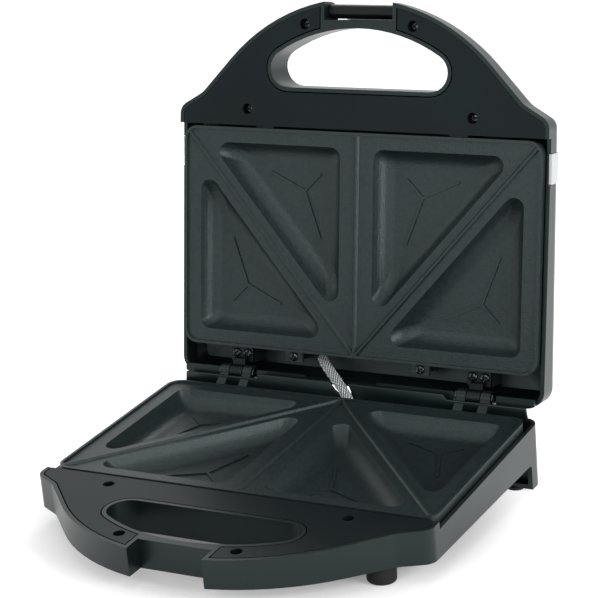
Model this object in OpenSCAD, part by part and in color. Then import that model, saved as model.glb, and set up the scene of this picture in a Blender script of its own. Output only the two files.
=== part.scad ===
// Hinged sandwich toaster with four triangular pockets, standing open.
// Millimetres, +Z up, +X to the right, the handle side towards -Y.
//
// The housing frame is used for every piece: x across, y back from the front edge of the
// cooking plates, z up from the plane where the two plates meet when the lid is shut.
// stand() sets that frame on its feet, swing() opens the lid about the hinge pins and
// flip() turns the latch back over the lid.

/* [Cooking plates] */
// Width of each cast plate
plate_w = 222; // [212:1:232]
// Depth of each plate, from the handle side to the hinge side
plate_d = 128.5; // [120:0.5:136]
// Corner radius of the plates
plate_r = 8; // [5:0.5:11]
// Wall thickness of the castings
cast_t = 2.2; // [1.8:0.1:2.6]
// Height of the raised rim and cutting ridges above the flat land
rim_h = 1.3; // [0.9:0.1:1.7]
// Width of the raised rim round the plate
rim_w = 1.6; // [1.2:0.1:2.4]
// Height of the skirt that hangs from the edge of the plate
skirt_h = 5.5; // [5:0.25:6.5]
// Width of a cutting ridge at its foot
ridge_w = 3; // [2.2:0.1:4]
// Gap between the two rims with the lid shut
rim_gap = 0.3; // [0.2:0.05:0.6]

/* [Pockets] */
// Depth of a sandwich pocket below the land
pocket_depth = 9.5; // [8:0.25:10]
// Flat land between a pocket and the front or back edge of the plate
pocket_edge = 9; // [8.6:0.2:11]
// Flat land between a pocket and the side edge or the middle of the plate
pocket_side = 10.4; // [9:0.2:13]
// Distance from a pocket to the middle of the diagonal ridge
pocket_diag = 6.1; // [5:0.1:8]
// Corner radius at the mouth of a pocket
pocket_r = 5.8; // [4:0.2:7]
// Width of the raised lines on the pocket floor
line_w = 1.3; // [0.8:0.1:2]
// Height of the raised lines on the pocket floor
line_h = 0.9; // [0.5:0.1:1.4]
// Share of the way to each pocket corner that a raised line runs
line_share = 0.38; // [0.25:0.01:0.5]

/* [Housing] */
// How far each side of the housings lies outside the plates
side_gap = 3.5; // [3:0.25:7]
// Wall thickness of the mouldings
wall = 2.2; // [1.8:0.1:2.3]
// Thickness of the bottom of the base and the top of the lid
skin = 2.4; // [1.8:0.1:3]
// How far the handle arch reaches in front of the plates
reach = 75; // [72:0.5:80]
// Radius of the handle arch
arch_r = 110; // [104:1:116]
// How far the arch turns on each side of the middle, degrees
arch_turn = 47; // [44:0.5:49]
// Slope of the shoulder where the arch meets the side, degrees
shoulder_turn = 30; // [26:1:34]
// How far the shoulder corner lies in front of the plates
shoulder_y = 11; // [9:0.5:13]
// Corner radius of the shoulder
shoulder_r = 8; // [6:0.5:9]
// Radius of the hollow between arch and shoulder
bend_r = 14; // [8:1:18]
// Corner radius at the back of the housings
back_r = 9; // [6:0.5:12]
// How far the handle faces stay back from the plane where the plates meet
face_drop = 0.5; // [0.3:0.05:1]
// How far the side walls stay back from that plane
side_drop = 4.5; // [3.5:0.25:6]

/* [Base] */
// Depth of the base at the front of the handle
base_front_h = 16; // [15:0.5:18]
// Slope of the bottom of the base, degrees
base_slope = 2.6; // [2:0.1:3.2]
// How far the back wall of the base lies behind the plates
base_back_gap = 10.5; // [10:0.25:12]
// Lean of the back wall, degrees
back_draft = 9.5; // [8:0.5:11]
// Forward tilt of the toaster on its feet, degrees
tilt = 5; // [4:0.25:6]
// Distance from the plates' plane to the table, at the front of the plates
table_drop = 30.5; // [29:0.5:34]
// Depth of the rear legs, from front to back
leg_d = 15.7; // [15:0.5:21]
// Width of each rear leg along the back wall
leg_w = 32; // [26:1:40]
// Thickness of the rubber pads under the rear legs
pad_t = 1.5; // [1:0.1:2.5]
// Radius of the round front feet
foot_r = 7.6; // [6.5:0.1:9]
// Distance of the front feet from the sides of the base
foot_in = 25.9; // [22.5:0.5:30.5]
// Distance of the front feet in front of the plates
foot_y = 16; // [14:0.5:20]

/* [Lid] */
// Depth of the lid at the front of the handle
lid_front_h = 17; // [16:0.5:19]
// Slope of the top of the lid, degrees
lid_slope = 2; // [1.4:0.1:2.6]
// How far the back wall of the lid lies behind the plates
lid_back_gap = 18.5; // [18:0.25:20]
// Crown of the lid above its edge
crown = 3.4; // [2:0.2:5]
// Opening angle of the lid, degrees
lid_open = 101.7; // [95:0.5:108]
// Distance of the silver band's front edge behind the front of the plates
band_y = 6.5; // [5:0.25:9]
// Width of the silver band
band_w = 16.5; // [12:0.5:20]
// How far the band stands proud of the lid
band_proud = 0.7; // [0.4:0.1:1.2]
// Depth of the groove that the band lies in
band_sink = 1; // [0.8:0.05:1.2]

/* [Handle] */
// Width of the handle bar in front of the finger hole
bar_w = 17; // [15.5:0.5:18]
// Distance from the finger hole to the front of the plates
hole_y = 24; // [22:0.5:28]
// Radius of the hole's front edge
hole_r = 93.5; // [88:0.5:98]
// Radius of the ends of the hole
hole_end_r = 10.7; // [9:0.1:13]
// Width of the latch notch in the handle
notch_w = 42; // [38:1:46]
// Depth of the notch from the front of the arch
notch_d = 12.7; // [12:0.1:13.5]
// Thickness of the handle face panels
face_t = 2.2; // [1.8:0.1:2.8]
// Groove between the edge of a face panel and the lip round it
groove = 0.7; // [0.4:0.05:1]
// Depth of the sunk screw cups in the face panels
cup_h = 5.2; // [4.6:0.1:6]
// Outside radius of a screw cup
cup_r = 4.4; // [4.1:0.1:4.8]
// Distance of the inner face screws from the middle
inner_screw_x = 69.7; // [68:0.5:74]
// Distance of the inner face screws in front of the plates
inner_screw_y = 10.8; // [10:0.2:13]
// Distance of the outer face screws from the middle
outer_screw_x = 33.2; // [31:0.2:38]

/* [Hinge] */
// Distance of the hinge pins behind the plates
pin_gap = 15.4; // [15:0.1:16]
// Height of the hinge pins above the plane where the plates meet
pin_z = 1.9; // [1.5:0.1:2.3]
// Radius of a hinge pin
pin_r = 2; // [1.6:0.1:2.3]
// Running clearance of a pin in its knuckle, on the radius
pin_play = 0.06; // [0.03:0.01:0.1]
// Radius of the hinge knuckles
knuckle_r = 4.5; // [4:0.1:4.7]
// Distance of each hinge from the middle
hinge_x = 75; // [68:1:80]
// Width of the middle knuckle, on the lid bracket
knuckle_w = 8; // [6:0.5:10]
// Width of each outer knuckle, on the base
ear_w = 5.5; // [4.5:0.25:7]
// Side gap between two knuckles
knuckle_gap = 0.5; // [0.3:0.05:0.8]

/* [Latch] */
// Distance of the latch pin from the front of the arch
latch_y = 8; // [7.8:0.1:8.2]
// Height of the latch pin above the plane where the plates meet
latch_z = 9; // [8.5:0.25:10]
// Radius of the latch barrel
latch_r = 4; // [3.6:0.1:4.2]
// Radius of the latch pin
latch_pin_r = 1.25; // [1:0.05:1.5]
// Thickness of the latch arm
latch_t = 3.2; // [2.8:0.1:3.4]
// How far the hook reaches under the base
hook = 2; // [1.5:0.1:2.6]
// Height of the hook
hook_h = 2.8; // [2.2:0.1:3.4]
// Gap between the hook and the base when latched
hook_gap = 0.4; // [0.3:0.05:0.6]
// Travel of the latch from released to latched, degrees
latch_travel = 195; // [185:1:198]
// Side gap between the latch and the notch
latch_gap = 0.5; // [0.3:0.05:0.8]

/* [Heating] */
// Radius of the tubular heating elements
element_r = 2.3; // [2.2:0.05:2.4]
// Distance from the plate's edge to the middle of the element
element_in = 5; // [4.9:0.05:5.1]
// Bend radius of the element
element_bend = 9; // [8:0.5:10]
// Distance from a plate's rim to its heat reflector
reflector_z = 13.3; // [13.2:0.05:13.5]
// Sheet thickness of the reflectors
sheet_t = 0.8; // [0.6:0.05:1]
// Height of the reflector's turned-up edge
reflector_h = 3.5; // [2.5:0.25:3.6]
// Distance from the plate's edge to the reflector's edge
reflector_in = 2.5; // [2.2:0.1:3]
// Diameter of the braided sleeve over the lid's wires
sleeve_d = 6.2; // [5:0.1:6.3]

/* [Small parts] */
// Radius of the shank of the housing screws
screw_r = 1.4; // [1.2:0.05:1.6]
// Radius of the screw heads
head_r = 2.7; // [2.4:0.05:2.9]
// Height of the screw heads
head_h = 1.4; // [1.1:0.05:1.5]
// Length of the screws under the head
screw_l = 8; // [6:0.5:9]
// Clearance between a screw and its pilot hole, on the radius
pilot_play = 0.05; // [0.03:0.01:0.08]
// Wall left round a pilot hole
boss_wall = 2.2; // [1.8:0.1:2.4]
// Radius of the indicator lenses
lens_r = 3; // [2.5:0.1:4]
// Distance of each lens from the middle
lens_x = 12; // [8:0.5:20]
// Height of the lens domes above the band
lens_h = 1.1; // [0.6:0.1:1.6]
// Radius of the hole in the cord inlet bush
inlet_r = 3.4; // [2.8:0.1:4]
// Distance of the cord inlet from the middle
inlet_x = 29; // [27:0.5:29.5]

/* [Hidden] */

big = 400;
eps = 0.01;
bore_fn = 48;
pin_y = plate_d + pin_gap;
housing_w = plate_w + 2 * side_gap;
half_w = housing_w / 2;
foot_x = half_w - foot_in;
base_back = plate_d + base_back_gap;
leg_front = base_back - leg_d;
lid_back = plate_d + lid_back_gap;
lift = table_drop * cos(tilt);
// Middle of the open toaster's footprint, so that the origin lies under its centre
middle_y = 65.58;

// ---------------------------------------------------------------- outlines

function unit(v) = v / norm(v);
function left_of(v) = [-v.y, v.x];
function turned(v, a) = [v.x * cos(a) - v.y * sin(a), v.x * sin(a) + v.y * cos(a)];

// The arc of n steps that rounds corner b between a and c; radius 0 keeps the corner
function corner(a, b, c, r, n) =
  r <= 0 ? [b] :
  let (u = unit(a - b), v = unit(c - b), half = acos(u * v) / 2)
  let (o = b + unit(u + v) * r / sin(half), start = b + u * r / tan(half) - o)
  let (way = cross(b - a, c - b) > 0 ? 1 : -1)
  [for (i = [0:n]) o + turned(start, way * (180 - 2 * half) * i / n)];

// A counter-clockwise polygon with every corner rounded; where two arcs meet, their
// shared point is kept once
function rounded(pts, radii, steps) =
  let (n = len(pts))
  let (all = [for (i = [0:n - 1])
    each corner(pts[(i + n - 1) % n], pts[i], pts[(i + 1) % n], radii[i], steps[i])])
  let (m = len(all))
  [for (i = [0:m - 1]) if (norm(all[i] - all[(i + 1) % m]) > 0.01) all[i]];

// The same polygon with each side moved inwards by d
function inset(pts, d) =
  let (n = len(pts))
  [for (i = [0:n - 1])
    let (p = left_of(unit(pts[i] - pts[(i + n - 1) % n])))
    let (q = left_of(unit(pts[(i + 1) % n] - pts[i])))
    pts[i] + (p + q) * d / (1 + p * q)];

// Corner radii that keep the rounding concentric when the polygon is inset by d
function inset_radii(pts, radii, d) =
  let (n = len(pts))
  [for (i = [0:n - 1])
    let (bend = cross(pts[i] - pts[(i + n - 1) % n], pts[(i + 1) % n] - pts[i]))
    radii[i] <= 0 ? 0 : bend > 0 ? max(radii[i] - d, 3) : radii[i] + d];

// Where the arch's side tangent meets the shoulder
arch_end = [arch_r * tan(arch_turn / 2), -reach];
shoulder = [half_w, -shoulder_y];
arch_dir = [cos(arch_turn), sin(arch_turn)];
shoulder_dir = [cos(shoulder_turn), sin(shoulder_turn)];
bend_at = arch_end
  + arch_dir * cross(shoulder - arch_end, shoulder_dir) / cross(arch_dir, shoulder_dir);

function flipped(p) = [-p.x, p.y];
function housing_corners(back) = [
  flipped(arch_end), arch_end, bend_at, shoulder, [half_w, back],
  [-half_w, back], flipped(shoulder), flipped(bend_at)
];
housing_radii = [arch_r, arch_r, bend_r, shoulder_r, back_r, back_r, shoulder_r, bend_r];
housing_steps = [12, 12, 3, 6, 6, 6, 6, 3];

// Outline of a housing whose back lies at y = back, moved inwards by d
function housing_ring(d, back) =
  let (pts = housing_corners(back))
  rounded(inset(pts, d), inset_radii(pts, housing_radii, d), housing_steps);

// Points of an arc without its first point
function arc(c, r, a1, a2, n) =
  [for (i = [1:n]) let (a = a1 + (a2 - a1) * i / n) c + r * [cos(a), sin(a)]];

// The finger hole: a front arc, a straight back edge and two round ends tangent to both
hole_front = reach - bar_w;
hole_mid = [0, hole_r - hole_front];
hole_end_y = -hole_y - hole_end_r;
hole_end_x = sqrt(pow(hole_r - hole_end_r, 2) - pow(hole_mid.y - hole_end_y, 2));
hole_turn = atan(hole_end_x / (hole_mid.y - hole_end_y));

// Outline of the finger hole, grown outwards by d
function hole_ring(d) = concat(
  arc(hole_mid, hole_r + d, 270 - hole_turn, 270 + hole_turn, 16),
  arc([hole_end_x, hole_end_y], hole_end_r + d, hole_turn - 90, 90, 10),
  [[-hole_end_x, hole_end_y + hole_end_r + d]],
  arc([-hole_end_x, hole_end_y], hole_end_r + d, 90, 270 - hole_turn, 10)
);

// Puts an outline on the plane z = z0 + s * y
function on_plane(ring, z0, s) = [for (p = ring) [p.x, p.y, z0 + s * p.y]];

// A closed skin through rings that run counter-clockwise and upwards
module loft(rings) {
  n = len(rings[0]);
  m = len(rings);
  sides = [for (i = [0:m - 2], j = [0:n - 1])
    let (a = i * n + j, b = i * n + (j + 1) % n)
    each [[a, a + n, b + n], [a, b + n, b]]];
  floor_cap = [for (j = [0:n - 1]) j];
  top_cap = [for (j = [n - 1:-1:0]) (m - 1) * n + j];
  polyhedron([for (r = rings) each r], concat([floor_cap, top_cap], sides), convexity = 8);
}

// ---------------------------------------------------------------- placing

module stand() {
  translate([0, -middle_y, lift]) rotate([tilt, 0, 0]) children();
}

// The table's frame, seen from the housing frame
module table_frame() {
  rotate([-tilt, 0, 0]) translate([0, 0, -lift]) children();
}

module about_x(y, z, angle) {
  translate([0, y, z]) rotate([angle, 0, 0]) translate([0, -y, -z]) children();
}

module swing() {
  stand() about_x(pin_y, pin_z, -lid_open) children();
}

module flip() {
  swing() about_x(latch_y - reach, latch_z, -latch_travel) children();
}

// Lid pieces that match base pieces are their mirror images
module upside_down() {
  mirror([0, 0, 1]) children();
}

module both_sides() {
  children();
  mirror([1, 0, 0]) children();
}

module rod_x(x1, x2, y, z, r) {
  translate([x1, y, z]) rotate([0, 90, 0]) cylinder(h = x2 - x1, r = r, $fn = bore_fn);
}

// ---------------------------------------------------------------- handle face screws

outer_screw_y = sqrt(pow(arch_r - (bar_w + face_t) / 2 + eps, 2) - pow(outer_screw_x, 2))
  - (arch_r - reach);
face_screws = [[inner_screw_x, -inner_screw_y], [outer_screw_x, -outer_screw_y]];
plate_lugs = [[60, -3.6], [40, plate_d + 3.4]];
lug_top = 4.3;
lug_t = 2.2;
boss_r = screw_r + pilot_play + boss_wall;
cup_floor = 1.2;
hole_play = 0.25;

// A cross-head screw: the head stands on z = 0 and the shank hangs below it
module screw(shank) {
  translate([0, 0, -shank]) cylinder(h = shank + eps, r = screw_r, $fn = bore_fn);
  difference() {
    cylinder(h = head_h, r = head_r, $fn = bore_fn);
    for (a = [0, 90]) rotate([0, 0, a])
      translate([-head_r * 0.55, -0.35, head_h - 0.7]) cube([head_r * 1.1, 0.7, 1]);
  }
}

module at_face_screws() {
  both_sides() for (p = face_screws) translate([p.x, p.y, 0]) children();
}

module at_plate_lugs() {
  both_sides() for (p = plate_lugs) translate([p.x, p.y, 0]) children();
}

// Face panel of a handle, its face on z = 0
module handle_face() {
  edge = wall + groove;
  difference() {
    union() {
      translate([0, 0, -face_t]) linear_extrude(face_t) difference() {
        intersection() {
          polygon(housing_ring(edge, base_back));
          translate([-big / 2, -big]) square([big, big - face_back]);
        }
        polygon(hole_ring(edge));
        translate([-notch_w / 2 - edge, -big]) square([notch_w + 2 * edge, big - hole_front + eps]);
      }
      at_face_screws() translate([0, 0, -cup_h])
        cylinder(h = cup_h - face_t / 2, r = cup_r, $fn = bore_fn);
    }
    at_face_screws() {
      translate([0, 0, -cup_h + cup_floor]) cylinder(h = cup_h, r = head_r + 0.4, $fn = bore_fn);
      translate([0, 0, -cup_h - 1]) cylinder(h = cup_h, r = screw_r + hole_play, $fn = bore_fn);
    }
  }
}

face_back = 1.4;

// ---------------------------------------------------------------- cooking plates

diag_k = sqrt(1 / pow(plate_w / 2, 2) + 1 / pow(plate_d, 2));

// The two triangles of the right-hand half: right angle at the front middle, and at the
// outer back corner. Each side keeps its own distance from the plate's edges and ridges.
function front_pocket() =
  let (a = plate_w / 2, k = 1 - pocket_diag * diag_k)
  [[pocket_side, pocket_edge], [a * (k - pocket_edge / plate_d), pocket_edge],
   [pocket_side, plate_d * (k - pocket_side / a)]];
function back_pocket() =
  let (a = plate_w / 2, k = 1 + pocket_diag * diag_k, x = a - pocket_side, y = plate_d - pocket_edge)
  [[x, y], [a * (k - y / plate_d), y], [x, plate_d * (k - x / a)]];
pockets = [front_pocket(), back_pocket()];

// Inset from the mouth and share of the depth, from the mouth down to the floor
flank = [[0, 0], [1.2, 0.34], [3, 0.66], [6, 0.9], [10, 1]];

// Ring of a pocket, in by d from its mouth, on the plane z
function pocket_ring(tri, d, z) =
  on_plane(rounded(inset(tri, d), [for (i = [0:2]) max(pocket_r - d * 0.3, 2.5)], [5, 5, 5]), z, 0);

// A pocket's hollow, or with t above 0 the outside of its casting
module pocket_form(tri, t) {
  loft(concat(
    [for (i = [len(flank) - 1:-1:0])
      pocket_ring(tri, flank[i][0] - t, -rim_h - flank[i][1] * pocket_depth - t)],
    [pocket_ring(tri, -t - (t > 0 ? 0 : 0.4), -rim_h + (t > 0 ? -0.2 : 1))]
  ));
}

// Middle of the circle that touches all three sides
function incentre(tri) =
  let (a = norm(tri[1] - tri[2]), b = norm(tri[2] - tri[0]), c = norm(tri[0] - tri[1]))
  (tri[0] * a + tri[1] * b + tri[2] * c) / (a + b + c);

// Three raised lines that meet at the middle of a pocket, as one star
module pocket_lines(tri) {
  mid = incentre(tri);
  h = line_w / 2;
  arms = [for (p = tri) unit(p - mid)];
  star = [for (i = [0:2])
    let (u = arms[i], v = arms[(i + 1) % 3], tip = u * norm(tri[i] - mid) * line_share)
    each [tip - left_of(u) * h, tip + left_of(u) * h, (u + v) * h / cross(u, v)]];
  translate([mid.x, mid.y, -rim_h - pocket_depth - 0.3]) linear_extrude(line_h + 0.3) polygon(star);
}

module plate_outline(d) {
  w = plate_w / 2 - d;
  r = plate_r - d;
  corners = [[-w, d], [w, d], [w, plate_d - d], [-w, plate_d - d]];
  polygon(rounded(corners, [r, r, r, r], [6, 6, 6, 6]));
}

// A ridge of triangular section, from the middle of the hinge side to p
module ridge(p) {
  from = [0, plate_d - rim_w / 2];
  way = p - from;
  translate([from.x, from.y, -rim_h - eps])
    rotate([0, 0, atan2(way.y, way.x)])
      rotate([90, 0, 90])
        linear_extrude(norm(way))
          polygon([[-ridge_w / 2, 0], [ridge_w / 2, 0], [ridge_w / 5, rim_h], [-ridge_w / 5, rim_h]]);
}

reflector_bosses = [
  [0, 26], [0, plate_d - 28.5], [62, plate_d * (1 - 124 / plate_w)], [-62, plate_d * (1 - 124 / plate_w)]
];

module at_reflector_bosses() {
  for (p = reflector_bosses) translate([p.x, p.y, 0]) children();
}

// A cast plate with its rim on z = 0, pockets below
module plate() {
  difference() {
    union() {
      translate([0, 0, -rim_h - cast_t]) linear_extrude(cast_t) plate_outline(0);
      translate([0, 0, -skirt_h]) linear_extrude(skirt_h) difference() {
        plate_outline(0);
        plate_outline(rim_w);
      }
      intersection() {
        union() {
          ridge([0, 0]);
          ridge([plate_w / 2, 0]);
          ridge([-plate_w / 2, 0]);
        }
        translate([0, 0, -rim_h - 1]) linear_extrude(rim_h + 1) plate_outline(rim_w / 2);
      }
      both_sides() for (tri = pockets) pocket_form(tri, cast_t);
      at_reflector_bosses() translate([0, 0, -reflector_z])
        cylinder(h = reflector_z - rim_h - cast_t / 2, r = boss_r, $fn = bore_fn);
      both_sides() {
        translate([plate_lugs[0].x - 5.5, plate_lugs[0].y - 3.4, -lug_top - lug_t])
          cube([11, 3.4 - plate_lugs[0].y + rim_w / 2, lug_t]);
        translate([plate_lugs[1].x - 5.5, plate_d - rim_w / 2, -lug_top - lug_t])
          cube([11, plate_lugs[1].y - plate_d + 3 + rim_w / 2, lug_t]);
      }
    }
    both_sides() for (tri = pockets) pocket_form(tri, 0);
    at_reflector_bosses() translate([0, 0, -reflector_z - eps])
      cylinder(h = screw_l - 1, r = screw_r + pilot_play, $fn = bore_fn);
    at_plate_lugs() translate([0, 0, -lug_top - lug_t - 1])
      cylinder(h = lug_t + 2, r = screw_r + hole_play, $fn = bore_fn);
  }
  both_sides() for (tri = pockets) pocket_lines(tri);
}

// ---------------------------------------------------------------- heating

element_z = rim_h + cast_t + 0.05 + element_r;
element_x = plate_w / 2 - element_in;
element_y1 = element_in;
element_y2 = plate_d - element_in;
element_end = 16;

// Tubular element bent round under the land of the plate, with a cold pin at each end
module element() {
  b = element_bend;
  translate([0, 0, -element_z]) {
    rod_x(-element_x + b, element_x - b, element_y1, 0, element_r);
    both_sides() {
      rod_x(element_end, element_x - b, element_y2, 0, element_r);
      rod_x(element_end - 9, element_end + eps, element_y2, 0, 1.1);
      translate([element_x, element_y1 + b, 0]) rotate([-90, 0, 0])
        cylinder(h = element_y2 - element_y1 - 2 * b, r = element_r, $fn = bore_fn);
      translate([element_x - b, element_y2 - b, 0]) rotate_extrude(angle = 90, $fn = bore_fn)
        translate([b, 0]) circle(r = element_r, $fn = bore_fn);
      translate([element_x - b, element_y1 + b, 0]) rotate([0, 0, -90])
        rotate_extrude(angle = 90, $fn = bore_fn)
          translate([b, 0]) circle(r = element_r, $fn = bore_fn);
    }
  }
}

saddle_at = [[44, 0], [element_x, 40], [element_x, 88], [30, 1]];

// Steel saddles that stand on the reflector and press the element against the plate
module element_saddles() {
  h = reflector_z - element_z;
  both_sides() for (s = saddle_at) {
    along_y = s.x == element_x;
    y = along_y ? s.y : s.y == 0 ? element_y1 : element_y2;
    translate([s.x, y, -reflector_z]) rotate([0, 0, along_y ? 90 : 0]) difference() {
      translate([-4, -1.5, 0]) cube([8, 3, h - element_r + 0.8]);
      rod_x(-5, 5, 0, h, element_r + 0.05);
    }
  }
}

// Dished sheet behind the element
module reflector() {
  module outline(d) {
    w = plate_w / 2 - reflector_in - d;
    y1 = reflector_in + d;
    y2 = plate_d - reflector_in - d;
    r = plate_r - 1.5 - d;
    polygon(rounded([[-w, y1], [w, y1], [w, y2], [-w, y2]], [r, r, r, r], [5, 5, 5, 5]));
  }
  difference() {
    translate([0, 0, -reflector_z - sheet_t]) linear_extrude(reflector_h + sheet_t) outline(0);
    translate([0, 0, -reflector_z]) linear_extrude(reflector_h + 1) outline(sheet_t);
    at_reflector_bosses() translate([0, 0, -reflector_z - sheet_t - 1])
      cylinder(h = sheet_t + 2, r = screw_r + hole_play, $fn = bore_fn);
  }
}

module reflector_screws() {
  at_reflector_bosses() translate([0, 0, -reflector_z - sheet_t]) upside_down() screw(screw_l - 2);
}

module plate_screws() {
  at_plate_lugs() translate([0, 0, -lug_top]) screw(screw_l);
}

// ---------------------------------------------------------------- base housing

table_slope = -tan(tilt);
bottom_slope = -tan(base_slope);
bottom_z = -base_front_h + reach * bottom_slope;
function bottom_at(y) = bottom_z + bottom_slope * y;

// Outline of the base in by w, between two heights, with its leaning back wall
module base_room(w, z1, z2) {
  difference() {
    translate([0, 0, z1]) linear_extrude(z2 - z1) polygon(housing_ring(w, base_back));
    translate([-big, base_back - w / cos(back_draft), 0]) rotate([-back_draft, 0, 0])
      translate([0, 0, -big]) cube([2 * big, big, 2 * big]);
  }
}

// Everything lower than a plane that slopes down towards the back
module lower_than(z, slope) {
  translate([0, 0, z]) rotate([-slope, 0, 0])
    translate([-big, -big, -big]) cube([2 * big, 2 * big, big]);
}

module higher_than(z, slope) {
  translate([0, 0, z]) rotate([-slope, 0, 0]) translate([-big, -big, 0]) cube([2 * big, 2 * big, big]);
}

// Room for the latch in front of the handle bar
module notch(z1, z2, grow) {
  translate([-notch_w / 2 - grow, -reach - 10, z1])
    cube([notch_w + 2 * grow, notch_d + 10 + grow, z2 - z1]);
}

// What a housing keeps inside its wall: the wall of the finger hole, the walls of the
// latch notch, and the posts for the face screws and the plate screws. z = 0 is the
// plane of the handle face and the housing lies below it.
module housing_posts(depth) {
  translate([0, 0, -depth]) linear_extrude(depth + 1) polygon(hole_ring(wall));
  translate([-notch_w / 2 - wall, -reach - 10, -depth])
    cube([notch_w + 2 * wall, reach + 12 - hole_front, depth + 1]);
  at_face_screws() translate([0, 0, -depth]) cylinder(h = depth - cup_h, r = boss_r, $fn = bore_fn);
  at_plate_lugs() translate([0, 0, -depth])
    cylinder(h = depth - lug_seat, r = boss_r, $fn = bore_fn);
  translate([-half_w, -face_back - wall, -depth]) cube([housing_w, wall, depth - lug_seat - 0.5]);
}

// Depth below the handle face at which the plate lugs rest
lug_seat = rim_gap / 2 + lug_top + lug_t - face_drop;

// Holes through a housing and pilot holes in its posts
module housing_holes(depth) {
  translate([0, 0, -depth - 1]) linear_extrude(depth + 3) polygon(hole_ring(0));
  notch(-depth - 1, 2, 0);
  at_face_screws() translate([0, 0, -cup_h - screw_l])
    cylinder(h = screw_l + 1, r = screw_r + pilot_play, $fn = bore_fn);
  at_plate_lugs() translate([0, 0, -lug_seat - screw_l])
    cylinder(h = screw_l + 1, r = screw_r + pilot_play, $fn = bore_fn);
}

// Everything under the base, up to the rounded corner in front of the rear legs
module under_base() {
  corners = [[-big, -big], [leg_front, -big], [leg_front, bottom_at(leg_front)], [-big, bottom_at(-big)]];
  translate([-big / 2, 0, 0]) rotate([90, 0, 90])
    linear_extrude(big) polygon(rounded(corners, [0, 0, 3, 0], [0, 0, 6, 0]));
}

leg_wall = 2.6;
sole_t = 2.6;

module leg_soles() {
  both_sides() table_frame()
    translate([half_w - leg_w * 0.6, leg_front - 4, 0]) cube([leg_w, 40, pad_t + sole_t]);
}

// The hollow behind the rear legs
module leg_hollow() {
  difference() {
    base_room(leg_wall, -65, -4);
    higher_than(bottom_z, base_slope);
    leg_soles();
  }
  // The arch between the two legs
  translate([-half_w + leg_w, leg_front - 10, -big]) cube([housing_w - 2 * leg_w, 60, big + arch_z]);
}

arch_z = -27;
vent_n = 5;
vent_pitch = 8.5;

module vents() {
  both_sides() for (i = [0:vent_n - 1]) translate([20 + i * vent_pitch, 66, -big / 2]) {
    translate([-1.6, 0, 0]) cube([3.2, 26, big / 2]);
    for (y = [0, 26]) translate([0, y, 0]) cylinder(h = big / 2, r = 1.6, $fn = bore_fn);
  }
}

ear_in = knuckle_w / 2 + knuckle_gap;

// One hinge ear of the base: a round knuckle on a strut from the back wall
module ear() {
  difference() {
    union() {
      rod_x(0, ear_w, pin_y, pin_z, knuckle_r);
      translate([0, pin_y, pin_z]) rotate([-52, 0, 0])
        translate([0, -3.2, -14.5]) cube([ear_w, 6.4, 14.5]);
    }
    rod_x(-1, ear_w + 1, pin_y, pin_z, pin_r + pin_play);
  }
}

inlet_z = -16;

module at_inlet() {
  y = base_back + inlet_z * tan(back_draft);
  translate([-inlet_x, y, inlet_z]) rotate([-90 - back_draft, 0, 0]) children();
}

module base_shell() {
  color("#1a1e20") stand() {
    difference() {
      base_room(0, -60, -face_drop);
      lower_than((pad_t - lift) / cos(tilt), tilt);
      difference() {
        base_room(wall, -50, 4);
        lower_than(bottom_z + skin, base_slope);
        translate([0, 0, -face_drop]) housing_posts(60);
      }
      translate([-big / 2, -face_back, -side_drop]) cube([big, big, big]);
      under_base();
      leg_hollow();
      translate([0, 0, -face_drop]) housing_holes(60);
      vents();
      both_sides() foot_at() cylinder(h = 30, r = foot_peg_r + 0.1, center = true, $fn = bore_fn);
      at_inlet() cylinder(h = 20, r = inlet_r + 2.1, center = true, $fn = bore_fn);
    }
    both_sides() for (x = [hinge_x + ear_in, hinge_x - ear_in - ear_w])
      translate([x, 0, 0]) ear();
  }
}

module base_face() {
  color("#23282a") stand() translate([0, 0, -face_drop]) handle_face();
}

module base_face_screws() {
  color("silver") stand() translate([0, 0, -face_drop - cup_h + cup_floor])
    at_face_screws() screw(screw_l);
}

module lower_plate() {
  color("#343b3d") stand() translate([0, 0, -rim_gap / 2]) plate();
}

module lower_plate_screws() {
  color("silver") stand() translate([0, 0, -rim_gap / 2]) plate_screws();
}

module lower_element() {
  color("#8a8783") stand() translate([0, 0, -rim_gap / 2]) element();
}

module lower_element_saddles() {
  color("#a7a9aa") stand() translate([0, 0, -rim_gap / 2]) element_saddles();
}

module lower_reflector() {
  color("#c3c6c8") stand() translate([0, 0, -rim_gap / 2]) reflector();
}

module lower_reflector_screws() {
  color("silver") stand() translate([0, 0, -rim_gap / 2]) reflector_screws();
}

// Snap-action thermostat: a round body with a flange and two tabs, under the reflector
module thermostat() {
  color("#d9d4c7") stand() translate([-35, 44, -rim_gap / 2 - reflector_z - sheet_t]) {
    translate([0, 0, -3.6]) cylinder(h = 3.6, r = 6.2, $fn = bore_fn);
    translate([-11, -2, -0.6]) cube([22, 4, 0.6]);
  }
}

block_y = plate_d - 24.5;

// Two-way terminal block standing on the bottom of the base
module terminal_block() {
  color("#e9e6dc") stand()
    translate([-66, block_y, bottom_at(block_y) + skin]) rotate([-base_slope, 0, 0]) difference() {
      cube([26, 12, 7]);
      for (x = [7, 19]) {
        translate([x, -1, 3]) rotate([-90, 0, 0]) cylinder(h = 20, r = 1.7, $fn = bore_fn);
        translate([x, 6, 3]) cylinder(h = 10, r = 1.4, $fn = bore_fn);
      }
    }
}

// Bush that lines the cord hole in the back wall
module cord_inlet() {
  color("#141617") stand() at_inlet() difference() {
    union() {
      translate([0, 0, -wall - 1.3]) cylinder(h = wall + 2.3, r = inlet_r + 2, $fn = bore_fn);
      translate([0, 0, 0.05]) cylinder(h = 1.6, r = inlet_r + 4, $fn = bore_fn);
      translate([0, 0, -wall - 1.45]) cylinder(h = 1.4, r = inlet_r + 2.8, $fn = bore_fn);
    }
    cylinder(h = 20, r = inlet_r, center = true, $fn = bore_fn);
  }
}

foot_peg_r = 2.4;

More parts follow.
